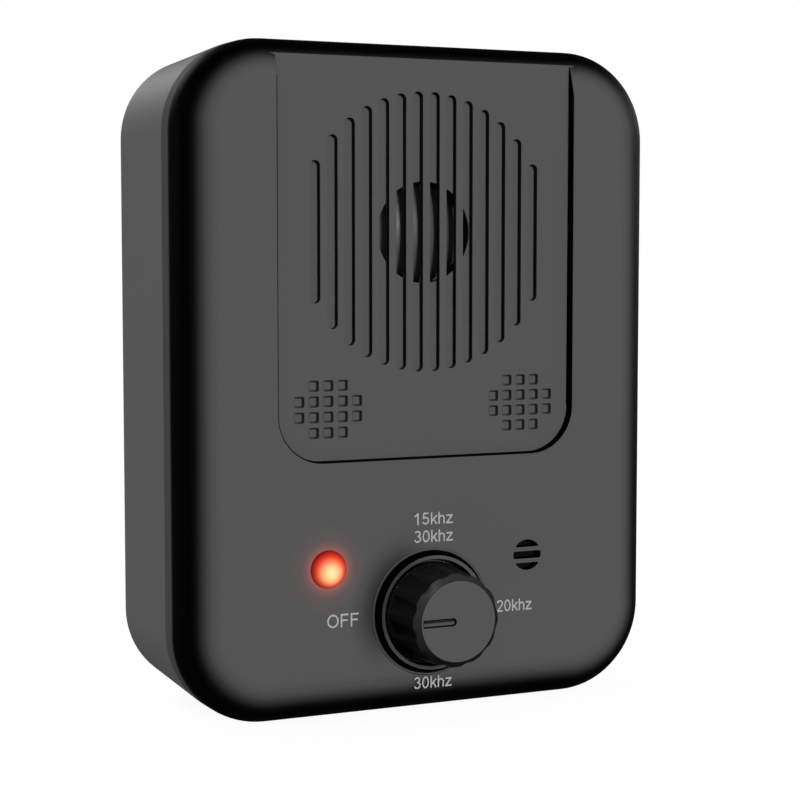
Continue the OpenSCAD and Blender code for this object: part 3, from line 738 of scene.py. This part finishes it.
class Nodes:
    """A material's node tree with short calls for what the surfaces here share."""

    def __init__(self, name):
        self.mat = bpy.data.materials.new(name)
        self.mat.use_nodes = True
        self.tree = self.mat.node_tree
        self.shader = self.tree.nodes["Principled BSDF"]
        self.where = self.tree.nodes.new("ShaderNodeTexCoord")

    def link(self, out, into):
        """Feeds an output into a socket."""
        self.tree.links.new(out, into)

    def set(self, **values):
        """Sets the shader's own values, by name."""
        for key, value in values.items():
            self.shader.inputs[key.replace("_", " ")].default_value = value

    def math(self, operation, a, b=None):
        """One sum on values or outputs."""
        node = self.tree.nodes.new("ShaderNodeMath")
        node.operation = operation
        for socket, value in zip(node.inputs, (a, b)):
            if value is None:
                continue
            if isinstance(value, (int, float)):
                socket.default_value = value
            else:
                self.link(value, socket)
        return node.outputs[0]

    def spread(self, value, lo, hi, to_lo=0.0, to_hi=1.0, smooth=False):
        """A range of values mapped onto another range."""
        node = self.tree.nodes.new("ShaderNodeMapRange")
        node.interpolation_type = "SMOOTHSTEP" if smooth else "LINEAR"
        self.link(value, node.inputs["Value"])
        for key, v in (("From Min", lo), ("From Max", hi), ("To Min", to_lo), ("To Max", to_hi)):
            node.inputs[key].default_value = v
        return node.outputs["Result"]

    def facing(self, axis):
        """How squarely the surface faces along an axis of the object, from -1 to 1."""
        node = self.tree.nodes.new("ShaderNodeVectorMath")
        node.operation = "DOT_PRODUCT"
        self.link(self.where.outputs["Normal"], node.inputs[0])
        node.inputs[1].default_value = axis
        return node.outputs["Value"]

    def spot(self):
        """The place on the object, as X, Y and Z."""
        node = self.tree.nodes.new("ShaderNodeSeparateXYZ")
        self.link(self.where.outputs["Object"], node.inputs[0])
        return node.outputs

    def from_axis(self, centre):
        """The distance from a line along the depth through a point (X, Z) given in millimetres."""
        x, _, z = self.spot()
        dx = self.math("SUBTRACT", x, centre[0] * MM)
        dz = self.math("SUBTRACT", z, centre[1] * MM)
        squares = self.math("ADD", self.math("MULTIPLY", dx, dx), self.math("MULTIPLY", dz, dz))
        return self.math("SQRT", squares)

    def depth(self):
        """The depth behind the front face."""
        return self.math("SUBTRACT", self.spot()[1], FRONT_Y * MM)

    def noise(self, size_mm, detail, rough=0.5, stretch=None):
        """A noise whose grain has a given size, drawn out along an axis where a stretch is given."""
        node = self.tree.nodes.new("ShaderNodeTexNoise")
        node.inputs["Scale"].default_value = 1 / (size_mm * MM)
        node.inputs["Detail"].default_value = detail
        node.inputs["Roughness"].default_value = rough
        source = self.where.outputs["Object"]
        if stretch:
            scale = self.tree.nodes.new("ShaderNodeMapping")
            scale.inputs["Scale"].default_value = stretch
            self.link(source, scale.inputs["Vector"])
            source = scale.outputs["Vector"]
        self.link(source, node.inputs["Vector"])
        return node.outputs["Fac"]

    def ramp(self, value, stops):
        """A colour or a grey for each value, from stops of (value, colour)."""
        node = self.tree.nodes.new("ShaderNodeValToRGB")
        band = node.color_ramp
        while len(band.elements) < len(stops):
            band.elements.new(0.5)
        for element, (at, colour) in zip(band.elements, sorted(stops, key=lambda s: s[0])):
            element.position = at
            element.color = (*colour, 1) if isinstance(colour, tuple) else (colour, colour, colour, 1)
        self.link(value, node.inputs["Fac"])
        return node.outputs["Color"]

    def mix(self, factor, a, b, blend="MIX"):
        """Two colours blended; a colour, a number or an output can stand for each."""
        node = self.tree.nodes.new("ShaderNodeMix")
        node.data_type = "RGBA"
        node.blend_type = blend
        for socket, value in ((node.inputs[0], factor), (node.inputs[6], a), (node.inputs[7], b)):
            if isinstance(value, (int, float)):
                socket.default_value = value
            elif isinstance(value, tuple):
                socket.default_value = (*value, 1)
            else:
                self.link(value, socket)
        return node.outputs[2]

    def bump(self, height, strength, depth_mm):
        """A small relief on the surface."""
        node = self.tree.nodes.new("ShaderNodeBump")
        node.inputs["Strength"].default_value = strength
        node.inputs["Distance"].default_value = depth_mm * MM
        self.link(height, node.inputs["Height"])
        self.link(node.outputs["Normal"], self.shader.inputs["Normal"])


def moulded(name, colour, rough=0.5, spec=0.5, grain=0.25, grain_mm=0.35, vary=0.06):
    """Plain moulded plastic, rubber or paint: a fine grain and a slow change of tone."""
    n = Nodes(name)
    n.set(Specular_IOR_Level=spec)
    slow = n.noise(14.0, 2.0)
    fine = n.noise(grain_mm, 4.0, 0.6)
    dark = tuple(c * (1 - vary) for c in colour)
    light = tuple(min(c * (1 + vary), 1.0) for c in colour)
    n.link(n.mix(slow, dark, light), n.shader.inputs["Base Color"])
    n.link(n.spread(fine, 0.3, 0.7, rough - 0.05, rough + 0.05), n.shader.inputs["Roughness"])
    n.bump(fine, grain, 0.02)
    return n.mat


def metal(name, colour, rough=0.28, brushed=(1.0, 1.0, 12.0)):
    """Plated or rolled metal with fine drawn lines."""
    n = Nodes(name)
    n.set(Metallic=1.0)
    lines = n.noise(0.8, 4.0, 0.6, brushed)
    slow = n.noise(6.0, 2.0)
    dark = tuple(c * 0.86 for c in colour)
    n.link(n.mix(slow, dark, colour), n.shader.inputs["Base Color"])
    n.link(n.spread(lines, 0.3, 0.7, rough - 0.08, rough + 0.1), n.shader.inputs["Roughness"])
    n.bump(lines, 0.1, 0.01)
    return n.mat


# Painted shade: how bright the cover's rounding and its other turned-away surfaces are painted against its
# flat face, by how squarely the surface faces front
PAINTED_SHADE_AXIS = (-0.004, -0.998, 0.06)
RIM_PAINTED_SHADE = [
    (0.0, 0.003), (0.73, 0.003), (0.79, 0.012), (0.84, 0.05), (0.875, 0.17),
    (0.9135, 0.42), (0.934, 0.64), (0.956, 0.84), (0.974, 0.94), (0.985, 1.0),
]
# The glow that the lamp throws on the face around it, by the distance from its middle in millimetres
GLOW = [
    (3.6, (0.25, 0.03, 0.02)), (4.6, (0.1, 0.016, 0.013)), (5.6, (0.035, 0.006, 0.006)),
    (7.6, (0.008, 0.002, 0.002)), (9.6, (0.0, 0.0, 0.0)),
]
# The soft shade that the dial throws to one side, by the distance from its axis in millimetres
SHADE_SIDE = (-0.94, 0.34)
SHADE = [
    (9.0, 0.7), (11.2, 0.55), (11.9, 0.25), (12.4, 0.25),
    (12.6, 0.62), (13.6, 0.5), (15.0, 0.25), (17.5, 0.0),
]
# The side's lighter stripe: the depths between which the face's grey gives way to it, and its two greys
STRIPE = (6.8, 8.2)
STRIPE_GREYS = ((0.058, 0.058, 0.059), (0.064, 0.064, 0.065))
# The lamp's colours, by the distance from its hot spot in millimetres
LAMP_COLOURS = [
    (0.0, (1.0, 0.86, 0.42)), (0.8, (1.0, 0.76, 0.38)), (1.7, (1.0, 0.46, 0.21)), (2.4, (0.96, 0.2, 0.08)),
    (3.0, (0.88, 0.07, 0.03)), (3.7, (0.75, 0.03, 0.018)), (4.8, (0.55, 0.02, 0.014)),
]


def by_distance(n, distance, stops):
    """A ramp over a distance, from stops given in millimetres."""
    reach = stops[-1][0]
    return n.ramp(n.spread(distance, 0, reach * MM), [(r / reach, value) for r, value in stops])


def shades_of(colour, vary):
    """A colour a little darker and a little lighter."""
    return tuple(c * (1 - vary) for c in colour), tuple(c * (1 + vary) for c in colour)


def dial_shade(n):
    """How much of the dial's soft shade falls on a place, from 0 to 1."""
    away = n.from_axis(DIAL)
    x, _, z = n.spot()
    across = n.math("MULTIPLY", n.math("SUBTRACT", x, DIAL[0] * MM), SHADE_SIDE[0])
    up = n.math("MULTIPLY", n.math("SUBTRACT", z, DIAL[1] * MM), SHADE_SIDE[1])
    side_on = n.math("DIVIDE", n.math("ADD", across, up), n.math("MAXIMUM", away, MM))
    return n.math("MULTIPLY", by_distance(n, away, SHADE), n.spread(side_on, 0.25, 1.0, smooth=True))


def within_panel(n, depth):
    """One on the panel's floor and in its grooves and dimples, nought elsewhere."""
    x, _, z = n.spot()
    inside = n.math("GREATER_THAN", depth, (PANEL_DEEP - 0.02) * MM)
    for limit in (
        n.math("LESS_THAN", n.math("ABSOLUTE", x), (PANEL_HALF - 1) * MM),
        n.math("GREATER_THAN", z, (PANEL_Z + 1) * MM),
        n.math("LESS_THAN", z, (CASE_H - ROUND_IN) * MM),
    ):
        inside = n.math("MULTIPLY", inside, limit)
    return inside


def on_flange(n, depth):
    """One on the collar's thin flange, nought elsewhere."""
    below = n.math("LESS_THAN", depth, 0.06 * MM)
    return n.math("MULTIPLY", below, n.math("GREATER_THAN", depth, -FLANGE_H * MM))


def cover_material():
    """A grey face with painted shade over its rounding and walls and a painted shadow beside the dial, a
    lighter stripe on the side, and the lamp's glow.
    """
    n = Nodes("cover_plastic")
    n.set(Specular_IOR_Level=0.01, Emission_Strength=1.0)
    depth = n.depth()
    # Painted shade by how squarely the surface faces front, left off on the collar's flange
    tone = n.mix(on_flange(n, depth), n.ramp(n.facing(PAINTED_SHADE_AXIS), RIM_PAINTED_SHADE), (1.0, 1.0, 1.0))
    # Inside the panel the painted shade goes no darker than 0.22 on walls facing left and 0.85 on walls
    # facing right
    panel_wall_shade = n.spread(n.facing((1.0, 0.0, 0.0)), -0.1, 0.15, 0.22, 0.85)
    tone = n.mix(within_panel(n, depth), tone, n.mix(1.0, tone, panel_wall_shade, "LIGHTEN"))
    tone = n.mix(dial_shade(n), tone, (0.0, 0.0, 0.0))
    slow = n.noise(22.0, 2.0)
    fine = n.noise(0.4, 4.0, 0.6)
    face = n.mix(1.0, n.mix(slow, *shades_of(FACE_GREY, 0.025)), tone, "MULTIPLY")
    stripe = n.spread(depth, STRIPE[0] * MM, STRIPE[1] * MM, smooth=True)
    n.link(n.mix(stripe, face, n.mix(slow, *STRIPE_GREYS)), n.shader.inputs["Base Color"])
    n.link(by_distance(n, n.from_axis(LAMP), GLOW), n.shader.inputs["Emission Color"])
    n.link(n.spread(fine, 0.3, 0.7, 0.5, 0.62), n.shader.inputs["Roughness"])
    n.bump(fine, 0.12, 0.015)
    return n.mat


def knob_material():
    """A grey cap with painted shade: a dark pointer groove, a half-dark bevel and nearly black sides."""
    n = Nodes("knob_plastic")
    n.set(Specular_IOR_Level=0.03)
    # Painted shade on the cap: dark wherever it turns from the front, as on the pointer groove's walls
    cap = n.ramp(n.facing((0.0, -1.0, 0.0)), [(0.0, 0.02), (0.9, 0.02), (0.97, 1.0)])
    # Painted shade below the cap: 0.2 of the grey on the bevel and 0.04 on the sides
    outside = n.spread(n.depth(), (-KNOB_H + 1.2) * MM, (-KNOB_H + 1.45) * MM, 0.2, 0.04)
    tone = n.mix(n.math("GREATER_THAN", n.from_axis(DIAL), (CAP_R - 0.06) * MM), cap, outside)
    fine = n.noise(0.3, 4.0, 0.6)
    slow = n.noise(9.0, 2.0)
    grey = n.mix(slow, *shades_of(FACE_GREY, 0.03))
    n.link(n.mix(1.0, grey, tone, "MULTIPLY"), n.shader.inputs["Base Color"])
    n.link(n.spread(fine, 0.3, 0.7, 0.36, 0.46), n.shader.inputs["Roughness"])
    n.bump(fine, 0.1, 0.01)
    return n.mat


def lamp_material():
    """A lit red lens with a pale core a little below its middle."""
    n = Nodes("lamp_lens")
    n.set(Base_Color=(0.05, 0.003, 0.002, 1), Roughness=0.45, Specular_IOR_Level=0.1, Emission_Strength=1.0)
    hot_spot = (LAMP[0] - 0.1, LAMP[1] - 0.5)
    colour = by_distance(n, n.from_axis(hot_spot), LAMP_COLOURS)
    edge = n.spread(n.from_axis(LAMP), 2.2 * MM, 3.6 * MM)
    rim = n.ramp(edge, [(0.0, 1.0), (0.35, 0.86), (0.7, 0.58), (0.92, 0.36), (1.0, 0.16)])
    n.link(n.mix(1.0, colour, rim, "MULTIPLY"), n.shader.inputs["Emission Color"])
    n.bump(n.noise(0.5, 2.0), 0.05, 0.01)
    return n.mat


def dull_cloth():
    """Nearly black woven cloth."""
    n = Nodes("mesh_cloth")
    n.set(Roughness=0.95, Specular_IOR_Level=0.05)
    weave = n.noise(0.12, 2.0)
    n.link(n.mix(weave, (0.002, 0.002, 0.002), (0.006, 0.006, 0.006)), n.shader.inputs["Base Color"])
    n.bump(weave, 0.4, 0.02)
    return n.mat


MATERIALS = {
    "case_front": cover_material(),
    "case_rear": moulded("housing_plastic", (0.099, 0.099, 0.1), 0.55, 0.08, 0.15, 0.4, 0.03),
    "knob_plastic": knob_material(),
    "lamp_red": lamp_material(),
    "lamp_body": moulded("lamp_body", (0.8, 0.75, 0.7), 0.3),
    "soft_rubber": moulded("soft_rubber", (0.012, 0.012, 0.0125), 0.72, 0.25, 0.5, 0.25),
    "foam": moulded("foam", (0.02, 0.02, 0.02), 0.95, 0.1, 0.9, 0.5),
    "acoustic_cloth": dull_cloth(),
    "foam_tape": moulded("foam_tape", (0.7, 0.68, 0.6), 0.9, 0.2, 0.8, 0.5),
    "board_green": moulded("board_green", (0.02, 0.16, 0.06), 0.35, 0.5, 0.2, 0.6),
    "chip_black": moulded("chip_black", (0.02, 0.02, 0.022), 0.6),
    "ferrite": moulded("ferrite", (0.03, 0.028, 0.026), 0.8, 0.3, 0.6),
    "capacitor_sleeve": moulded("capacitor_sleeve", (0.02, 0.04, 0.13), 0.35),
    "ceramic_tan": moulded("ceramic_tan", (0.35, 0.25, 0.15), 0.4),
    "connector_white": moulded("connector_white", (0.8, 0.77, 0.68), 0.4),
    "wire_red": moulded("wire_red", (0.4, 0.03, 0.02), 0.4),
    "cell_sleeve": moulded("cell_sleeve", (0.04, 0.15, 0.4), 0.3),
    "black_plastic": moulded("black_plastic", (0.012, 0.012, 0.0125), 0.6, 0.2),
    "switch_blue": moulded("switch_blue", (0.03, 0.12, 0.25), 0.4),
    "dome_metal": moulded("dome_film", (0.06, 0.06, 0.061), 0.45, 0.3, 0.15),
    "ceramic_white": moulded("ceramic_white", (0.78, 0.76, 0.68), 0.5),
    "brass": metal("brass", (0.75, 0.55, 0.22)),
    "steel": metal("steel", (0.6, 0.61, 0.63)),
}
print_mat = moulded("dial_print", (0.4, 0.4, 0.4), 0.6, 0.2, 0.1, 0.3, 0.04)


def paint(obj, mat):
    """Gives a piece one material."""
    obj.data.materials.clear()
    obj.data.materials.append(mat)


def soften(node, width=0.0, angle=30):
    """Smooth shading and, where a width is given, small round edges on a CAD node."""
    obj = frame["nodes"][node]
    obj.data.shade_smooth()
    obj.data.set_sharp_from_angle(angle=math.radians(angle))
    if width:
        flat = obj.modifiers.new("flat", "DECIMATE")
        flat.decimate_type = "DISSOLVE"
        flat.angle_limit = math.radians(1)
        edge = obj.modifiers.new("edges", "BEVEL")
        edge.width = width * MM
        edge.segments = 3
        edge.limit_method = "ANGLE"
        edge.angle_limit = math.radians(angle)
        edge.use_clamp_overlap = True
    normals = obj.modifiers.new("normals", "WEIGHTED_NORMAL")
    normals.keep_sharp = True


# CAD nodes that can be seen up close, and the small radius on their edges
SOFT_EDGES = {"port_flap": 0.25, "port_anchor": 0.25, "case_screws": 0.12}

for part in frame["record"]["subparts"]:
    paint(frame["nodes"][part["node"]], MATERIALS[part["material_slot"]])
    soften(part["node"], SOFT_EDGES.get(part["node"], 0.0))
for obj, key in ((cover, "case_front"), (housing, "case_rear"), (knob, "knob_plastic")):
    paint(obj, MATERIALS[key])
for obj in MARKS:
    paint(obj, print_mat)

# ---------- light and floor ----------


def sun(name, towards, strength, spread_deg):
    """A soft sun whose light comes from the given direction."""
    data = bpy.data.lights.new(name, "SUN")
    data.energy = strength
    data.angle = math.radians(spread_deg)
    obj = bpy.data.objects.new(name, data)
    bpy.context.scene.collection.objects.link(obj)
    x, y, z = towards
    obj.rotation_euler = (math.acos(z / math.sqrt(x * x + y * y + z * z)), 0, math.atan2(y, x) + math.pi / 2)
    return obj


def lights_only(light, piece, link_state):
    """Makes a light shine on one piece alone, or on everything but that piece."""
    group = bpy.data.collections.new(light.name + "_on")
    group.objects.link(piece)
    group.collection_objects[0].light_linking.link_state = link_state
    light.light_linking.receiver_collection = group


# Name, direction, strength and spread of each sun: the knob has one of its own
for light in (
    sun("key", (0.04, -0.96, 0.2), 2.54, 14),
    sun("left", (-0.95, 0.28, 0.12), 1.57, 14),
    sun("right", (0.92, 0.35, 0.2), 1.2, 14),
    sun("back", (-0.25, 0.9, 0.55), 1.4, 18),
):
    lights_only(light, knob, "EXCLUDE")
lights_only(sun("dial", (-0.35, -0.5, 0.79), 5.0, 12), knob, "INCLUDE")

# The sky is white to the camera and dim to everything else
world = bpy.data.worlds.new("world")
bpy.context.scene.world = world
world.use_nodes = True
sky = world.node_tree
path = sky.nodes.new("ShaderNodeLightPath")
level = sky.nodes.new("ShaderNodeMapRange")
level.inputs["To Min"].default_value = 0.2
level.inputs["To Max"].default_value = 1.0
sky.links.new(path.outputs["Is Camera Ray"], level.inputs["Value"])
sky.nodes["Background"].inputs["Color"].default_value = (1, 1, 1, 1)
sky.links.new(level.outputs["Result"], sky.nodes["Background"].inputs["Strength"])
bpy.context.scene.view_settings.view_transform = "Standard"

# A pale floor that takes a faint shadow and throws no light back on the case
floor_mesh = bpy.data.meshes.new("floor")
floor_mesh.from_pydata([(-8, -8, 0), (8, -8, 0), (8, 8, 0), (-8, 8, 0)], [], [(0, 1, 2, 3)])
floor = bpy.data.objects.new("floor", floor_mesh)
bpy.context.scene.collection.objects.link(floor)
floor_nodes = Nodes("floor")
floor_nodes.set(Base_Color=(0.16, 0.16, 0.16, 1), Roughness=0.9, Specular_IOR_Level=0.0)
floor_nodes.set(Emission_Color=(1, 1, 1, 1), Emission_Strength=0.93)
paint(floor, floor_nodes.mat)
floor.visible_diffuse = False
floor.visible_glossy = False
